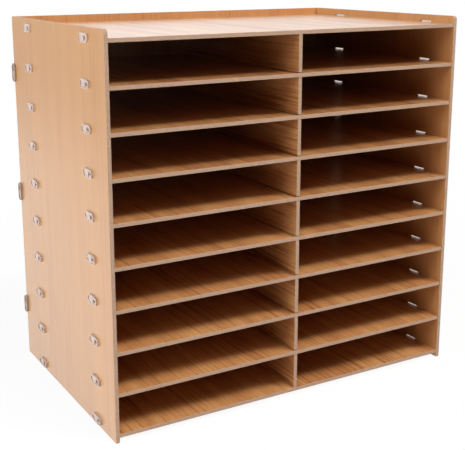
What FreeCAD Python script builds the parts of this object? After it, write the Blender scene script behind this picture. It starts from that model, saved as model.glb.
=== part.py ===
import FreeCAD, Part
import Sketcher
import math
import os
import re

# Eighteen-slot paper organiser: two columns of nine shelves between slotted side panels.
#
# Millimetres. X runs to the right, Y from front to back and Z up. The origin is on the floor,
# at the middle of the whole organiser's box. Every board is one thickness. The shelves, the top
# and the bottom have two tongues at each end, which pass through the side panels into moulded
# connectors. The back panel's tongues lie in notches at the side panels' back edges. The centre
# divider and the shelves are slotted to half their depth and lock into each other.

document = FreeCAD.newDocument("paper_organiser")

# Driving dimensions -------------------------------------------------------------------------

DIMENSIONS = (
    ("width", 520),              # over the side panels' outer faces
    ("depth", 325),              # of a side panel, front edge to back edge
    ("board", 5),                # thickness of every board
    ("openings_high", 9),        # compartments in one column
    ("clear_height", 48),        # of one compartment
    ("foot_gap", 6),             # floor to the underside of the bottom panel
    ("rail_rise", 10),           # side and back panels above the top panel
    ("setback", 1),              # shelf front edge behind the side panels' front edge
    ("divider_offset", 3),       # middle of the divider right of the middle of the width
    ("corner_radius", 5),        # upper front corner of a side panel
    ("row_front", 56.5),         # front edge to the front row of connectors
    ("row_spacing", 200),        # front row to back row of connectors
    ("back_spacing", 171.5),     # one back connector to the next, up the back edge
    ("head_length", 26),
    ("head_height", 11),
    ("head_proud", 3),           # head above the side panel's face
    ("head_round", 0.8),
    ("rim_width", 1.5),
    ("recess_depth", 1.2),       # inside the rim
    ("window_length", 6),        # latch window in the recess, over the tongue's end
    ("window_height", 4),
    ("window_start", 2.5),       # from the middle of the head, towards one end
    ("pad_length", 8),           # raised pad in the recess, beside the window
    ("pad_rise", 0.6),
    ("collar_length", 20.5),
    ("collar_height", 9),
    ("collar_wall", 2),
    ("lip_reach", 1.3),          # collar lips beyond the side panel's inner face
    ("gate_radius", 0.7),        # moulding mark near one end of each lip
    ("gate_depth", 0.6),
    ("tongue_reach", 3),         # of a tongue into the side panel
    ("socket_past_face", 0.9),   # connector's socket beyond the side panel's outer face
    ("fit_gap", 0.1),            # each side of a tongue or a collar
    ("lap_gap", 0.2),            # each side of a board in a lap slot
    ("lap_headroom", 1.2),       # above a shelf, in the divider's slot
)

SHEET_NAMES = re.compile(r"\b(" + "|".join(alias for alias, _ in DIMENSIONS) + r")\b")

sheet = document.addObject("Spreadsheet::Sheet", "dims")
for row_number, (alias, value) in enumerate(DIMENSIONS, 1):
    sheet.set(f"A{row_number}", alias)
    sheet.set(f"B{row_number}", str(value))
    sheet.setAlias(f"B{row_number}", alias)
document.recompute()


def dims(formula):
    """The formula with every driving dimension's name pointed at the sheet."""
    return SHEET_NAMES.sub(r"dims.\1", formula)


# Derived sizes, as formulas ------------------------------------------------------------------

SHELF_COUNT = int(sheet.openings_high) - 1
PITCH = "(clear_height + board)"
TOP_LEVEL = f"(foot_gap + openings_high * {PITCH})"
PANEL_HEIGHT = f"({TOP_LEVEL} + board + rail_rise)"
INNER_WIDTH = "(width - 2 * board)"
SHELF_DEPTH = "(depth - board - setback)"
FRONT_EDGE = "(-(depth + (head_height - board) / 2) / 2)"
OVER_TONGUES = f"({INNER_WIDTH} + 2 * tongue_reach)"
TONGUE_WIDTH = "(collar_length - 2 * collar_wall)"
SLOT_LENGTH = "(collar_length + 2 * fit_gap)"
SLOT_HEIGHT = "(collar_height + 2 * fit_gap)"
LAP_DEPTH = f"({SHELF_DEPTH} / 2)"


# Sketch and feature helpers ------------------------------------------------------------------

def new_body(name):
    body = document.addObject("PartDesign::Body", name)
    body.Label = name
    return body


def new_sketch(body, name, plane, height=None):
    """A sketch on one of the body's own origin planes, raised along its normal by height."""
    sketch = body.newObject("Sketcher::SketchObject", name)
    support = next(item for item in body.Origin.OriginFeatures if item.Role == plane)
    sketch.AttachmentSupport = [(support, "")]
    sketch.MapMode = "FlatFace"
    if height:
        sketch.setExpression("AttachmentOffset.Base.z", dims(height))
    return sketch


def constrain(sketch, *arguments, formula):
    """A dimension of the sketch, driven by a formula on the sheet."""
    index = sketch.addConstraint(Sketcher.Constraint(*arguments))
    sketch.setExpression(f"Constraints[{index}]", dims(formula))


def add_rectangle(sketch, left, low, length, height):
    """A rectangle whose lower left corner is at (left, low) from the sketch's origin."""
    corners = [FreeCAD.Vector(x, y, 0) for x, y in ((1, 1), (9, 1), (9, 5), (1, 5))]
    first = sketch.GeometryCount
    for index, corner in enumerate(corners):
        sketch.addGeometry(Part.LineSegment(corner, corners[(index + 1) % 4]), False)
    for index in range(4):
        next_line = first + (index + 1) % 4
        sketch.addConstraint(Sketcher.Constraint("Coincident", first + index, 2, next_line, 1))
        direction = "Horizontal" if index % 2 == 0 else "Vertical"
        sketch.addConstraint(Sketcher.Constraint(direction, first + index))
    constrain(sketch, "DistanceX", first, 1, first, 2, 8.0, formula=length)
    constrain(sketch, "DistanceY", first + 1, 1, first + 1, 2, 4.0, formula=height)
    constrain(sketch, "DistanceX", -1, 1, first, 1, 1.0, formula=left)
    constrain(sketch, "DistanceY", -1, 1, first, 1, 1.0, formula=low)


def add_centred_rectangle(sketch, length, height, middle_y="0"):
    """A rectangle whose middle is at (0, middle_y)."""
    add_rectangle(
        sketch, f"-{length} / 2", f"{middle_y} - {height} / 2", length, height
    )


def add_stadium(sketch, length, height):
    """A straight-sided slot outline with round ends, centred on the sketch's origin."""
    up = FreeCAD.Vector(0, 0, 1)
    quarter = math.pi / 2
    right = Part.Circle(FreeCAD.Vector(6, 0, 0), up, 4)
    left = Part.Circle(FreeCAD.Vector(-6, 0, 0), up, 4)
    sketch.addGeometry(Part.ArcOfCircle(right, -quarter, quarter), False)
    sketch.addGeometry(Part.LineSegment(FreeCAD.Vector(6, 4, 0), FreeCAD.Vector(-6, 4, 0)), False)
    sketch.addGeometry(Part.ArcOfCircle(left, quarter, 3 * quarter), False)
    sketch.addGeometry(Part.LineSegment(FreeCAD.Vector(-6, -4, 0), FreeCAD.Vector(6, -4, 0)), False)
    for piece in range(4):
        following = (piece + 1) % 4
        sketch.addConstraint(Sketcher.Constraint("Tangent", piece, 2, following, 1))
    sketch.addConstraint(Sketcher.Constraint("Horizontal", 1))
    sketch.addConstraint(Sketcher.Constraint("Equal", 0, 2))
    sketch.addConstraint(Sketcher.Constraint("Symmetric", 0, 3, 2, 3, -1, 1))
    constrain(sketch, "Radius", 0, 4.0, formula=f"{height} / 2")
    constrain(sketch, "DistanceX", 2, 3, 0, 3, 12.0, formula=f"{length} - {height}")


def add_circle(sketch, centre_x, centre_y, radius):
    index = sketch.GeometryCount
    circle = Part.Circle(FreeCAD.Vector(3, 3, 0), FreeCAD.Vector(0, 0, 1), 1)
    sketch.addGeometry(circle, False)
    constrain(sketch, "Radius", index, 1.0, formula=radius)
    constrain(sketch, "DistanceX", -1, 1, index, 3, 3.0, formula=centre_x)
    constrain(sketch, "DistanceY", -1, 1, index, 3, 3.0, formula=centre_y)


def pad(body, sketch, name, length, against_normal=False):
    feature = body.newObject("PartDesign::Pad", name)
    feature.Profile = sketch
    feature.Reversed = against_normal
    feature.setExpression("Length", dims(length))
    document.recompute()
    return feature


def pocket(body, sketch, name, length, along_normal=False):
    """Cuts the sketch into the body, and stops if the cut takes nothing away."""
    volume_before = body.Shape.Volume
    feature = body.newObject("PartDesign::Pocket", name)
    feature.Profile = sketch
    feature.Reversed = along_normal
    feature.setExpression("Length", dims(length))
    document.recompute()
    if body.Shape.Volume >= volume_before:
        raise RuntimeError(f"{body.Name}: {name} cuts nothing")
    return feature


def repeat(body, sketch, feature, name, axis, spacing, count):
    """The feature, count times in all, at an even spacing along one axis of its sketch."""
    pattern = body.newObject("PartDesign::LinearPattern", name)
    pattern.Originals = [feature]
    pattern.Direction = (sketch, [axis])
    pattern.Mode = "Spacing"
    pattern.setExpression("Offset", dims(spacing))
    pattern.Occurrences = count
    body.Tip = pattern
    document.recompute()
    return pattern


def round_edges(body, feature, name, radius, is_wanted):
    """Rounds the edges of the feature whose middle is_wanted says yes to."""
    edges = enumerate(feature.Shape.Edges, 1)
    names = [f"Edge{number}" for number, edge in edges if is_wanted(edge.CenterOfMass)]
    fillet = body.newObject("PartDesign::Fillet", name)
    fillet.Base = (feature, names)
    fillet.setExpression("Radius", dims(radius))
    document.recompute()


def place(item, x="0", y="0", z="0"):
    """Moves a body or a link to a place given by formulas."""
    for axis, formula in (("x", x), ("y", y), ("z", z)):
        item.setExpression(f"Placement.Base.{axis}", dims(formula))


# Boards --------------------------------------------------------------------------------------

def make_side_panel(name, inner_left):
    """An upright board: ten levels of two slots, three back notches, one round corner."""
    body = new_body(name)
    outline = new_sketch(body, f"{name}_outline", "YZ_Plane")
    add_rectangle(outline, "0", "0", "depth", PANEL_HEIGHT)
    board = pad(body, outline, f"{name}_board", "board")

    slots = new_sketch(body, f"{name}_slot_pair", "YZ_Plane")
    slot_low = f"foot_gap + board / 2 - {SLOT_HEIGHT} / 2"
    front_slot = f"row_front - {SLOT_LENGTH} / 2"
    add_rectangle(slots, front_slot, slot_low, SLOT_LENGTH, SLOT_HEIGHT)
    add_rectangle(slots, f"{front_slot} + row_spacing", slot_low, SLOT_LENGTH, SLOT_HEIGHT)
    level = pocket(body, slots, f"{name}_slots", "board", along_normal=True)
    repeat(body, slots, level, f"{name}_levels", "V_Axis", PITCH, SHELF_COUNT + 2)

    notch = new_sketch(body, f"{name}_notch", "YZ_Plane")
    notch_front = f"depth - board / 2 - {SLOT_HEIGHT} / 2"
    notch_low = f"{PANEL_HEIGHT} / 2 - back_spacing - {SLOT_LENGTH} / 2"
    add_rectangle(notch, notch_front, notch_low, SLOT_HEIGHT, SLOT_LENGTH)
    cut = pocket(body, notch, f"{name}_back_notch", "board", along_normal=True)
    notches = repeat(body, notch, cut, f"{name}_notches", "V_Axis", "back_spacing", 3)

    top = board.Shape.BoundBox.ZMax
    near = 1e-3
    round_edges(
        body, notches, f"{name}_corner", "corner_radius",
        lambda middle: middle.y < near and middle.z > top - near,
    )
    place(body, x=inner_left, y=FRONT_EDGE)
    return body


def make_shelf(name, level, is_lapped):
    """A horizontal board with two tongues at each end, and a back lap slot if is_lapped."""
    body = new_body(name)
    outline = new_sketch(body, f"{name}_outline", "XY_Plane")
    add_centred_rectangle(outline, INNER_WIDTH, SHELF_DEPTH, f"{SHELF_DEPTH} / 2")
    pad(body, outline, f"{name}_board", "board")

    tongue = new_sketch(body, f"{name}_tongue", "XY_Plane")
    add_centred_rectangle(tongue, OVER_TONGUES, TONGUE_WIDTH, "row_front - setback")
    front_pair = pad(body, tongue, f"{name}_front_tongues", "board")
    repeat(body, tongue, front_pair, f"{name}_tongues", "V_Axis", "row_spacing", 2)

    if is_lapped:
        lap = new_sketch(body, f"{name}_lap", "XY_Plane")
        lap_left = "divider_offset - board / 2 - lap_gap"
        lap_front = f"{SHELF_DEPTH} - {LAP_DEPTH}"
        add_rectangle(lap, lap_left, lap_front, "board + 2 * lap_gap", LAP_DEPTH)
        pocket(body, lap, f"{name}_lap_slot", "board", along_normal=True)
    place(body, y=f"{FRONT_EDGE} + setback", z=f"foot_gap + {level} * {PITCH}")
    return body


def make_back_panel(name):
    """The upright back board, with three tongues at each side."""
    body = new_body(name)
    outline = new_sketch(body, f"{name}_outline", "XZ_Plane")
    add_centred_rectangle(outline, INNER_WIDTH, PANEL_HEIGHT, f"{PANEL_HEIGHT} / 2")
    pad(body, outline, f"{name}_board", "board", against_normal=True)

    tongue = new_sketch(body, f"{name}_tongue", "XZ_Plane")
    low_tongue = f"{PANEL_HEIGHT} / 2 - back_spacing"
    add_centred_rectangle(tongue, OVER_TONGUES, TONGUE_WIDTH, low_tongue)
    low_pair = pad(body, tongue, f"{name}_low_tongues", "board", against_normal=True)
    repeat(body, tongue, low_pair, f"{name}_tongues", "V_Axis", "back_spacing", 3)
    place(body, y=f"{FRONT_EDGE} + depth - board")
    return body


def make_divider(name):
    """The upright board between the columns, slotted from its front edge at every shelf."""
    body = new_body(name)
    height = f"({TOP_LEVEL} - foot_gap - board)"
    outline = new_sketch(body, f"{name}_outline", "YZ_Plane")
    add_rectangle(outline, "0", "0", SHELF_DEPTH, height)
    pad(body, outline, f"{name}_board", "board")

    slot = new_sketch(body, f"{name}_slot", "YZ_Plane")
    slot_height = "board + lap_gap + lap_headroom"
    slot_depth = f"{SHELF_DEPTH} - {LAP_DEPTH}"
    add_rectangle(slot, "0", "clear_height - lap_gap", slot_depth, slot_height)
    cut = pocket(body, slot, f"{name}_lap_slot", "board", along_normal=True)
    repeat(body, slot, cut, f"{name}_lap_slots", "V_Axis", PITCH, SHELF_COUNT)
    left_face = "divider_offset - board / 2"
    place(body, x=left_face, y=f"{FRONT_EDGE} + setback", z="foot_gap + board")
    return body


# Moulded connectors --------------------------------------------------------------------------
# A connector lies along its own X, with the side panel's outer face at its own Z = 0 and its
# head above that. Its collar goes down through the panel and holds a tongue.

def make_connector(name, has_lips):
    body = new_body(name)
    outline = new_sketch(body, f"{name}_outline", "XY_Plane")
    add_stadium(outline, "head_length", "head_height")
    head = pad(body, outline, f"{name}_head", "head_proud")
    face = head.Shape.BoundBox.ZMax
    near = 1e-3
    round_edges(
        body, head, f"{name}_head_edge", "head_round",
        lambda middle: middle.z > face - near,
    )

    recess = new_sketch(body, f"{name}_recess_outline", "XY_Plane", "head_proud")
    within_rim = "({} - 2 * rim_width)"
    recess_length = within_rim.format("head_length")
    recess_height = within_rim.format("head_height")
    add_stadium(recess, recess_length, recess_height)
    pocket(body, recess, f"{name}_recess", "recess_depth")

    raised = new_sketch(body, f"{name}_pad_outline", "XY_Plane", "head_proud - recess_depth")
    pad_low = f"-{recess_height} / 2"
    add_rectangle(raised, "-window_start", pad_low, "pad_length", recess_height)
    pad(body, raised, f"{name}_pad", "pad_rise")

    collar = new_sketch(body, f"{name}_collar_outline", "XY_Plane")
    add_centred_rectangle(collar, "collar_length", "collar_height")
    pad(body, collar, f"{name}_collar", "board", against_normal=True)

    if has_lips:
        lips = new_sketch(body, f"{name}_lip_outline", "XY_Plane", "-board")
        low_lip = "-collar_height / 2"
        high_lip = "collar_height / 2 - collar_wall"
        for low in (low_lip, high_lip):
            add_rectangle(lips, "-collar_length / 2", low, "collar_length", "collar_wall")
        pad(body, lips, f"{name}_lips", "lip_reach", against_normal=True)
        gate = new_sketch(body, f"{name}_gate_outline", "XY_Plane", "-board - lip_reach")
        gate_x = "-collar_length / 2 + collar_wall"
        for lip_middle in ("-collar_height / 2 + collar_wall / 2",
                           "collar_height / 2 - collar_wall / 2"):
            add_circle(gate, gate_x, lip_middle, "gate_radius")
        pocket(body, gate, f"{name}_gate_marks", "gate_depth", along_normal=True)

    socket = new_sketch(body, f"{name}_socket_outline", "XY_Plane", "-board")
    add_centred_rectangle(
        socket, f"({TONGUE_WIDTH} + 2 * fit_gap)", "(board + 2 * fit_gap)"
    )
    pocket(
        body, socket, f"{name}_socket", "board + socket_past_face", along_normal=True
    )

    window = new_sketch(body, f"{name}_window_outline", "XY_Plane", "head_proud")
    window_end = "-(window_start + window_length)"
    add_rectangle(window, window_end, "-window_height / 2", "window_length", "window_height")
    pocket(body, window, f"{name}_window", "head_proud")
    return body


def facing(along, outwards):
    """The turn that lays a connector's own X along one direction and its Z along another."""
    return FreeCAD.Rotation(along, FreeCAD.Vector(0, 0, 0), outwards, "XZY")


def add_copy(master, name, rotation, x, y, z):
    copy = document.addObject("App::Link", name)
    copy.LinkedObject = master
    copy.Placement = FreeCAD.Placement(FreeCAD.Vector(0, 0, 0), rotation)
    place(copy, x, y, z)
    return copy


def group(name, copies):
    """One node that holds several identical connectors, each its own solid."""
    node = document.addObject("Part::Compound", name)
    node.Label = name
    node.Links = copies
    return node


def make_level_connectors(name, master, level):
    """The four connectors that hold one horizontal board: two at each end.

    One moulding serves both ends: turned half round, its window is at the front on the left
    and at the back on the right."""
    left = FreeCAD.Vector(-1, 0, 0)
    right = FreeCAD.Vector(1, 0, 0)
    backwards = FreeCAD.Vector(0, 1, 0)
    forwards = FreeCAD.Vector(0, -1, 0)
    height = f"foot_gap + board / 2 + {level} * {PITCH}"
    ends = (
        ("left", facing(backwards, left), "-width / 2"),
        ("right", facing(forwards, right), "width / 2"),
    )
    rows = (("front", "row_front"), ("back", "row_front + row_spacing"))
    copies = []
    for end, rotation, x in ends:
        for row, from_front in rows:
            y = f"{FRONT_EDGE} + {from_front}"
            copies.append(add_copy(master, f"{name}_{end}_{row}", rotation, x, y, height))
    return group(name, copies)


def make_back_connectors(name, master, outwards, x):
    """The three upright connectors at one of the back corners."""
    rotation = facing(FreeCAD.Vector(0, 0, -1), outwards)
    y = f"{FRONT_EDGE} + depth - board / 2"
    copies = []
    for position, step in (("low", "- 1"), ("middle", "+ 0"), ("high", "+ 1")):
        z = f"{PANEL_HEIGHT} / 2 {step} * back_spacing"
        copies.append(add_copy(master, f"{name}_{position}", rotation, x, y, z))
    return group(name, copies)


# The organiser -------------------------------------------------------------------------------

nodes = [
    make_side_panel("left_side_panel", "-width / 2"),
    make_side_panel("right_side_panel", "width / 2 - board"),
    make_back_panel("back_panel"),
    make_shelf("bottom_panel", 0, is_lapped=False),
    make_shelf("top_panel", SHELF_COUNT + 1, is_lapped=False),
    make_divider("centre_divider"),
]
shelf_connector = make_connector("shelf_connector", has_lips=True)
back_connector = make_connector("back_connector", has_lips=False)
nodes.append(make_level_connectors("connectors_bottom", shelf_connector, 0))
nodes.append(make_level_connectors("connectors_top", shelf_connector, SHELF_COUNT + 1))
for number in range(1, SHELF_COUNT + 1):
    level = SHELF_COUNT + 1 - number
    nodes.append(make_shelf(f"shelf_{number}", level, is_lapped=True))
    nodes.append(make_level_connectors(f"connectors_shelf_{number}", shelf_connector, level))
leftwards = FreeCAD.Vector(-1, 0, 0)
rightwards = FreeCAD.Vector(1, 0, 0)
nodes.append(make_back_connectors("back_connectors_left", back_connector, leftwards, "-width / 2"))
nodes.append(make_back_connectors("back_connectors_right", back_connector, rightwards, "width / 2"))
document.recompute()

# Checks and files ----------------------------------------------------------------------------

for item in document.Objects:
    if "Invalid" in item.State or "Error" in item.State:
        raise RuntimeError(f"{item.Name} failed: {item.State}")
    if item.isDerivedFrom("Sketcher::SketchObject") and item.solve() != 0:
        raise RuntimeError(f"{item.Name} can't be solved")
    if item.isDerivedFrom("Sketcher::SketchObject") and not item.FullyConstrained:
        raise RuntimeError(f"{item.Name} isn't fully constrained")
for node in nodes:
    if node.Shape.isNull() or not node.Shape.isValid():
        raise RuntimeError(f"{node.Label} has no valid shape")

os.makedirs("parts", exist_ok=True)
for node in nodes:
    node.Shape.exportStep(f"parts/{node.Label}.step")
    box = node.Shape.BoundBox
    print(
        f"{node.Label}: {len(node.Shape.Solids)} solid(s), {node.Shape.Volume / 1000:.1f} cm3, "
        f"X {box.XMin:.1f}..{box.XMax:.1f} Y {box.YMin:.1f}..{box.YMax:.1f} "
        f"Z {box.ZMin:.1f}..{box.ZMax:.1f}"
    )
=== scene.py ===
import math

import bpy
from mathutils import Matrix, Vector

# Looks of an eighteen-slot paper organizer: wood-grain boards, moulded connectors, and a pale
# studio round them. Metres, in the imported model's frame: X to the right, Y from the open front
# to the back, Z up from the floor.

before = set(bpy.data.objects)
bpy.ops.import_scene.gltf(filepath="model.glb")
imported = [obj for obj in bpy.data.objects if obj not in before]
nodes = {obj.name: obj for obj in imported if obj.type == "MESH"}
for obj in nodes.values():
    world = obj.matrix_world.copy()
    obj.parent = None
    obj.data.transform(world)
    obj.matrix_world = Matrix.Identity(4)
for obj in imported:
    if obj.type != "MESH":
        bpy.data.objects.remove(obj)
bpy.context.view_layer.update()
scene = bpy.context.scene

MM = 0.001
BOARD_EDGE_ROUND = 0.3 * MM
MOULDING_EDGE_ROUND = 0.12 * MM
GRAIN_SWAY = 6 * MM  # how far the grain wanders to each side of a straight line
ORGANIZER_MIDDLE = Vector((0.0, 0.0, 0.25))
PANEL_FACE = 260 * MM  # middle to a side panel's outer face
HALF_FADE = 0.5 * MM  # each side of that face, where the connectors' plastic turns clear

# How fine the printed grain and the fibreboard are: cycles in a metre across the grain, along it,
# and through the board
GRAIN_WANDER = (3.0, 2.2, 45.0)
GRAIN_BANDS = (34.0, 1.6, 45.0)
GRAIN_STREAKS = (300.0, 6.0, 45.0)
GRAIN_FIBRES = (1200.0, 22.0, 45.0)
GRAIN_PORES = (1700.0, 95.0, 45.0)
BUSY_PATCHES = (17.0, 4.5, 45.0)
FIBREBOARD_SPECKLE = (900.0, 500.0, 900.0)

# The studio, as the gloss of the boards shows it
PAPER_EDGE_LEFT = (-1.3, -0.6)  # X on the floor, where the white paper fades out
PAPER_END_LEFT = (-0.6, -0.2)  # X of a direction, where the white backdrop fades out on the left
PAPER_END_FRONT = (-0.3, 0.2)  # Y of a direction, where it fades out towards the front
ROOM_BRIGHTNESS = 0.4  # of the room past the white paper, against the paper
OVERHEAD = (0.6, 0.8)  # Z of a direction, where the soft light from above begins
SHADOW_REACH = (0.4, 1.4)  # from the middle of the floor, where shadows on it fade out
NEAR_WHITENESS = 0.93  # the share of plain white in the floor there, which leaves a faint shadow

# Colours, linear
GRAIN_LIGHT = (0.67, 0.355, 0.135)
GRAIN_MIDDLE = (0.57, 0.265, 0.095)
GRAIN_DARK = (0.33, 0.11, 0.034)
PORE = (0.20, 0.065, 0.022)
FIBREBOARD_LIGHT = (0.50, 0.33, 0.23)
FIBREBOARD_DARK = (0.365, 0.225, 0.145)
# The back clips' colour: the connectors' plastic darkened, as painted shade
MILKY_PLASTIC = (0.62, 0.455, 0.37)
CLIP_PAINTED_SHADE = (0.45, 0.31, 0.24)
PALE_FLOOR = (0.86, 0.855, 0.85)
NEUTRAL_LIGHT = (1.0, 1.0, 1.0)
COOL_LIGHT = (0.92, 1.05, 1.18)


# Node helpers --------------------------------------------------------------------------------

class Graph:
    """A material's or world's node tree, with one short call for each node."""

    def __init__(self, owner):
        owner.use_nodes = True
        self.tree = owner.node_tree
        self.tree.nodes.clear()

    def add(self, kind, inputs=None, output=0, **settings):
        """Adds a node and returns one of its outputs. An input is a value or another output."""
        node = self.tree.nodes.new(kind)
        for key, value in settings.items():
            setattr(node, key, value)
        for key, value in (inputs or {}).items():
            if isinstance(value, bpy.types.NodeSocket):
                self.tree.links.new(value, node.inputs[key])
            else:
                node.inputs[key].default_value = value
        return node.outputs[output] if node.outputs else node

    def math(self, operation, first, second=0.0, clamp=False):
        return self.add("ShaderNodeMath", {0: first, 1: second}, operation=operation, use_clamp=clamp)

    def scaled(self, vector, scale):
        return self.add("ShaderNodeVectorMath", {0: vector, 1: scale}, operation="MULTIPLY")

    def noise(self, vector, scale=1.0, detail=2.0, roughness=0.5, distortion=0.0):
        """Noise from 0 to 1."""
        inputs = {
            "Vector": vector, "Scale": scale, "Detail": detail,
            "Roughness": roughness, "Distortion": distortion,
        }
        return self.add("ShaderNodeTexNoise", inputs)

    def spread(self, value, low, high, to_low=0.0, to_high=1.0):
        """The value's stretch from low to high, spread over to_low to to_high."""
        inputs = {"Value": value, 1: low, 2: high, 3: to_low, 4: to_high}
        return self.add("ShaderNodeMapRange", inputs, interpolation_type="SMOOTHSTEP")

    def ramp(self, value, *stops):
        """A colour from a value, by stops of (position, linear colour)."""
        made = self.tree.nodes.new("ShaderNodeValToRGB")
        self.tree.links.new(value, made.inputs[0])
        points = made.color_ramp.elements
        for index, (position, colour) in enumerate(stops):
            point = points[index] if index < 2 else points.new(position)
            point.position = position
            point.color = (*colour, 1)
        return made.outputs[0]

    def blend(self, factor, first, second):
        """One colour mixed into another."""
        inputs = {0: factor, 6: first, 7: second}
        return self.add("ShaderNodeMix", inputs, output=2, data_type="RGBA")

    def bump(self, height, strength, distance):
        inputs = {"Height": height, "Strength": strength, "Distance": distance}
        return self.add("ShaderNodeBump", inputs)


def new_material(name):
    material = bpy.data.materials.new(name)
    return material, Graph(material)


# Materials -----------------------------------------------------------------------------------

def board_coordinates(graph, across, along):
    """A board's place as (across the grain, along the grain, through the board), in metres,
    and how squarely its surface faces through the board."""
    through = next(axis for axis in "XYZ" if axis not in (across, along))
    place = graph.add("ShaderNodeTexCoord", output=3)
    normal = graph.add("ShaderNodeNewGeometry", output=1)
    parts = {}
    facing = {}
    for found, vector in ((parts, place), (facing, normal)):
        for output, axis in enumerate("XYZ"):
            found[axis] = graph.add("ShaderNodeSeparateXYZ", {0: vector}, output=output)
    ordered = {0: parts[across], 1: parts[along], 2: parts[through]}
    return graph.add("ShaderNodeCombineXYZ", ordered), graph.math("ABSOLUTE", facing[through])


def make_laminate(name, across, along, contrast):
    """Printed oak grain on a board's two faces, and bare fibreboard on its edges."""
    material, graph = new_material(name)
    place, squareness = board_coordinates(graph, across, along)

    # The grain wanders a little from a straight line along the board
    sway = graph.noise(graph.scaled(place, GRAIN_WANDER), detail=1.0)
    sway = graph.spread(sway, 0.2, 0.8, -GRAIN_SWAY, GRAIN_SWAY)
    shift = graph.add("ShaderNodeCombineXYZ", {0: sway})
    grain_place = graph.add("ShaderNodeVectorMath", {0: place, 1: shift}, operation="ADD")

    bands = graph.noise(graph.scaled(grain_place, GRAIN_BANDS), detail=2.0)
    streaks = graph.noise(graph.scaled(grain_place, GRAIN_STREAKS), detail=2.0)
    fibres = graph.noise(graph.scaled(grain_place, GRAIN_FIBRES), detail=2.0)
    pores = graph.noise(graph.scaled(grain_place, GRAIN_PORES), detail=1.0)
    busy = graph.noise(graph.scaled(grain_place, BUSY_PATCHES), detail=1.0)

    busy = graph.spread(busy, 0.35, 0.65, 0.35, 1.0)
    streaks = graph.math("MULTIPLY", graph.spread(streaks, 0.44, 0.68, 0.0, 0.42), busy)
    variation = graph.spread(bands, 0.3, 0.7, -0.17, 0.09)
    variation = graph.math("ADD", variation, streaks)
    variation = graph.math("ADD", variation, graph.spread(fibres, 0.3, 0.7, -0.1, 0.1))
    darkness = graph.math("MULTIPLY", variation, contrast)
    darkness = graph.math("ADD", darkness, 0.42)
    grain = graph.ramp(darkness, (0.0, GRAIN_LIGHT), (1.0, GRAIN_DARK), (0.42, GRAIN_MIDDLE))
    pores = graph.spread(pores, 0.62, 0.74)
    grain = graph.blend(graph.math("MULTIPLY", pores, 0.35 * contrast), grain, (*PORE, 1))

    speckle = graph.noise(graph.scaled(place, FIBREBOARD_SPECKLE), detail=2.0, roughness=0.7)
    core = graph.ramp(speckle, (0.3, FIBREBOARD_DARK), (0.7, FIBREBOARD_LIGHT))

    is_face = graph.spread(squareness, 0.8, 0.95)
    relief = graph.math("SUBTRACT", graph.math("MULTIPLY", fibres, 0.5), pores)
    relief = graph.math("ADD", relief, graph.math("MULTIPLY", speckle, 0.4))
    shader = {
        "Base Color": graph.blend(is_face, core, grain),
        "Roughness": graph.spread(is_face, 0.0, 1.0, 0.75, 0.36),
        "Specular IOR Level": 0.3,
        "Coat Weight": graph.spread(is_face, 0.0, 1.0, 0.0, 0.92),
        "Coat Roughness": 0.22,
        "Normal": graph.bump(relief, 0.12, 0.1 * MM),
    }
    surface = graph.add("ShaderNodeBsdfPrincipled", shader)
    graph.add("ShaderNodeOutputMaterial", {"Surface": surface})
    return material


def make_plastic(name, colour, roughness, collar_clear=0.0):
    """A moulded plastic with faint flow marks and a fine moulded texture.

    collar_clear is how clear it is inside the side panels' outer faces. Lamps, and light that
    has entered such a plastic, pass through it, so its collars look bright in the dark."""
    material, graph = new_material(name)
    place = graph.add("ShaderNodeTexCoord", output=3)
    flow = graph.noise(place, scale=130.0, detail=2.0)
    fine = graph.noise(place, scale=2600.0, detail=2.0)
    from_middle = graph.math("ABSOLUTE", graph.add("ShaderNodeSeparateXYZ", {0: place}))
    fade = (PANEL_FACE - HALF_FADE, PANEL_FACE + HALF_FADE)
    darker = tuple(channel * 0.9 for channel in colour)
    shader = {
        "Base Color": graph.ramp(flow, (0.25, darker), (0.75, colour)),
        "Roughness": graph.spread(flow, 0.2, 0.8, roughness - 0.05, roughness + 0.05),
        "Transmission Weight": graph.spread(from_middle, *fade, collar_clear, 0.0),
        "Normal": graph.bump(fine, 0.08, 0.05 * MM),
    }
    surface = graph.add("ShaderNodeBsdfPrincipled", shader)
    if collar_clear:
        path = graph.add("ShaderNodeLightPath").node
        let_through = graph.add("ShaderNodeBsdfTransparent")
        for kind in ("Transmission", "Shadow"):
            passes = path.outputs[f"Is {kind} Ray"]
            surface = graph.add("ShaderNodeMixShader", {0: passes, 1: surface, 2: let_through})
    graph.add("ShaderNodeOutputMaterial", {"Surface": surface})
    return material


# The organizer -------------------------------------------------------------------------------

def finish_node(name, material, edge_round, segments):
    """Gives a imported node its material, and rounds its sharp edges a little."""
    piece = nodes[name]
    piece.data.materials.clear()
    piece.data.materials.append(material)

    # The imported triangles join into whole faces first, so that only real edges are rounded
    weld = piece.modifiers.new("weld", "WELD")
    weld.merge_threshold = 0.001 * MM
    whole = piece.modifiers.new("whole_faces", "DECIMATE")
    whole.decimate_type = "DISSOLVE"
    whole.angle_limit = math.radians(1)
    bevel = piece.modifiers.new("edge_round", "BEVEL")
    bevel.limit_method = "ANGLE"
    bevel.angle_limit = math.radians(40)
    bevel.width = edge_round
    bevel.segments = segments
    shading = piece.modifiers.new("shading", "WEIGHTED_NORMAL")
    shading.keep_sharp = True


side_laminate = make_laminate("side_laminate", across="Y", along="Z", contrast=0.3)
back_laminate = make_laminate("back_laminate", across="X", along="Z", contrast=0.7)
shelf_laminate = make_laminate("shelf_laminate", across="X", along="Y", contrast=1.5)
divider_laminate = make_laminate("divider_laminate", across="Z", along="Y", contrast=2.0)
milky_plastic = make_plastic("milky_plastic", MILKY_PLASTIC, 0.25, collar_clear=1.0)
# The back clips get the connectors' plastic darkened, as painted shade
shaded_clip_plastic = make_plastic("shaded_clip_plastic", CLIP_PAINTED_SHADE, 0.5)

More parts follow.
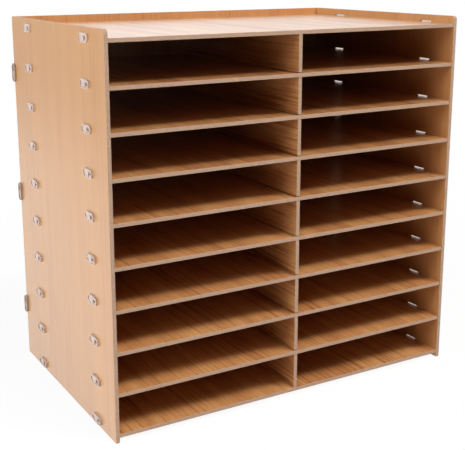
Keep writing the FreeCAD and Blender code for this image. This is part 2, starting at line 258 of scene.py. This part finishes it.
for name in nodes:
    if name.startswith("back_connectors"):
        finish_node(name, shaded_clip_plastic, MOULDING_EDGE_ROUND, 1)
    elif name.startswith("connectors"):
        finish_node(name, milky_plastic, MOULDING_EDGE_ROUND, 1)
    elif name.endswith("side_panel"):
        finish_node(name, side_laminate, BOARD_EDGE_ROUND, 2)
    elif name == "back_panel":
        finish_node(name, back_laminate, BOARD_EDGE_ROUND, 2)
    elif name == "centre_divider":
        finish_node(name, divider_laminate, BOARD_EDGE_ROUND, 2)
    else:
        finish_node(name, shelf_laminate, BOARD_EDGE_ROUND, 2)


# Studio --------------------------------------------------------------------------------------

def backdrop(graph, reflected):
    """Which rays see the backdrop, from 0 to 1, and how bright it is to them: white to the
    camera, and as bright as reflected says in gloss and through clear plastic."""
    path = graph.add("ShaderNodeLightPath").node
    camera, glossy, transmitted = (
        path.outputs[f"Is {kind} Ray"] for kind in ("Camera", "Glossy", "Transmission")
    )
    sees = graph.math("MAXIMUM", camera, graph.math("MAXIMUM", glossy, transmitted))
    return sees, graph.add("ShaderNodeMix", {0: camera, 2: reflected, 3: 1.0})


def make_floor(half_width):
    """White paper that keeps a faint shadow of the organizer, out to a wide plain floor."""
    signs = ((-1, -1), (1, -1), (1, 1), (-1, 1))
    corners = [(across * half_width, back * half_width, 0) for across, back in signs]
    mesh = bpy.data.meshes.new("floor")
    mesh.from_pydata(corners, [], [(0, 1, 2, 3)])
    floor = bpy.data.objects.new("floor", mesh)
    scene.collection.objects.link(floor)
    material, graph = new_material("floor")
    place = graph.add("ShaderNodeTexCoord", output=3)
    across = graph.add("ShaderNodeSeparateXYZ", {0: place})
    away = graph.add("ShaderNodeVectorMath", {0: place}, output=1, operation="LENGTH")
    paper_light = graph.spread(across, *PAPER_EDGE_LEFT, ROOM_BRIGHTNESS, 1.0)
    sees, brightness = backdrop(graph, paper_light)
    paper = graph.add("ShaderNodeBsdfDiffuse", {"Color": (*PALE_FLOOR, 1)})
    white = graph.add("ShaderNodeEmission", {"Color": (1, 1, 1, 1), "Strength": brightness})
    whiteness = graph.spread(away, *SHADOW_REACH, NEAR_WHITENESS, 1.0)
    share = graph.math("MULTIPLY", sees, whiteness)
    surface = graph.add("ShaderNodeMixShader", {0: share, 1: paper, 2: white})
    graph.add("ShaderNodeOutputMaterial", {"Surface": surface})
    mesh.materials.append(material)


def make_world(overhead):
    """A white backdrop behind the organizer, dimmer to the left and in front, and soft overhead
    light for the surfaces themselves."""
    world = bpy.data.worlds.new("studio")
    scene.world = world
    graph = Graph(world)
    direction = graph.add("ShaderNodeTexCoord", output=0)
    across, back, height = (
        graph.add("ShaderNodeSeparateXYZ", {0: direction}, output=output) for output in range(3)
    )
    from_left = graph.spread(across, *PAPER_END_LEFT, ROOM_BRIGHTNESS, 1.0)
    from_front = graph.spread(back, *PAPER_END_FRONT, ROOM_BRIGHTNESS, 1.0)
    sees, brightness = backdrop(graph, graph.math("MINIMUM", from_left, from_front))
    light = graph.spread(height, *OVERHEAD, 0.0, overhead)
    strength = graph.add("ShaderNodeMix", {0: sees, 2: light, 3: brightness})
    sky = graph.add("ShaderNodeBackground", {"Color": (1, 1, 1, 1), "Strength": strength})
    graph.add("ShaderNodeOutputWorld", {"Surface": sky})


def add_softbox(name, place, size, power, colour=NEUTRAL_LIGHT):
    """A soft lamp of a width and height in metres, aimed at the organizer's middle."""
    lamp = bpy.data.lights.new(name, "AREA")
    lamp.shape = "RECTANGLE"
    lamp.size, lamp.size_y = size
    lamp.energy = power
    lamp.color = colour
    softbox = bpy.data.objects.new(name, lamp)
    softbox.location = place
    towards = ORGANIZER_MIDDLE - Vector(place)
    softbox.rotation_euler = towards.to_track_quat("-Z", "Y").to_euler()
    scene.collection.objects.link(softbox)


# The camera, found from the edges of the boards in the photograph's frame
PHOTO_WIDTH = 465
PHOTO_HEIGHT = 450
FOCAL_PIXELS = 925.68
CENTRE_PIXEL = (221.18, 186.44)
CAMERA_PLACE = (-0.65853, -1.11459, 0.56348)
CAMERA_YAW = 29.894
CAMERA_PITCH = 13.319
CAMERA_ROLL = -0.156
SENSOR_WIDTH = 36.0


def make_camera():
    yaw, pitch, roll = (math.radians(turn) for turn in (CAMERA_YAW, CAMERA_PITCH, CAMERA_ROLL))
    heading = Vector((math.sin(yaw), math.cos(yaw), 0))
    ahead = math.cos(pitch) * heading - math.sin(pitch) * Vector((0, 0, 1))
    level = Vector((math.cos(yaw), -math.sin(yaw), 0))
    upright = level.cross(ahead)
    right = math.cos(roll) * level + math.sin(roll) * upright
    up = math.cos(roll) * upright - math.sin(roll) * level
    lens = bpy.data.cameras.new("camera")
    lens.sensor_fit = "HORIZONTAL"
    lens.sensor_width = SENSOR_WIDTH
    lens.lens = FOCAL_PIXELS * SENSOR_WIDTH / PHOTO_WIDTH
    lens.shift_x = (PHOTO_WIDTH / 2 - CENTRE_PIXEL[0]) / PHOTO_WIDTH
    lens.shift_y = (CENTRE_PIXEL[1] - PHOTO_HEIGHT / 2) / PHOTO_WIDTH
    camera = bpy.data.objects.new("camera", lens)
    scene.collection.objects.link(camera)
    turn = Matrix((right, up, -ahead)).transposed().to_4x4()
    camera.matrix_world = Matrix.Translation(CAMERA_PLACE) @ turn
    scene.camera = camera


make_floor(half_width=30.0)
make_world(overhead=0.15)
add_softbox("near_light", (0.2, -1.1, 2.5), size=(1.2, 0.8), power=30.0)
add_softbox("front_light", (0.5, -2.5, 4.6), size=(1.2, 0.9), power=42.0)
add_softbox("right_light", (2.6, -2.6, 4.0), size=(1.2, 0.9), power=115.0)
add_softbox("left_light", (-2.4, 0.0, 1.0), size=(1.4, 0.9), power=45.0, colour=COOL_LIGHT)
add_softbox("corner_light", (-2.2, -1.8, 2.0), size=(1.2, 1.2), power=11.0)
add_softbox("back_light", (0.3, 2.2, 1.8), size=(2.0, 1.2), power=7.0)
make_camera()
scene.view_settings.view_transform = "Standard"
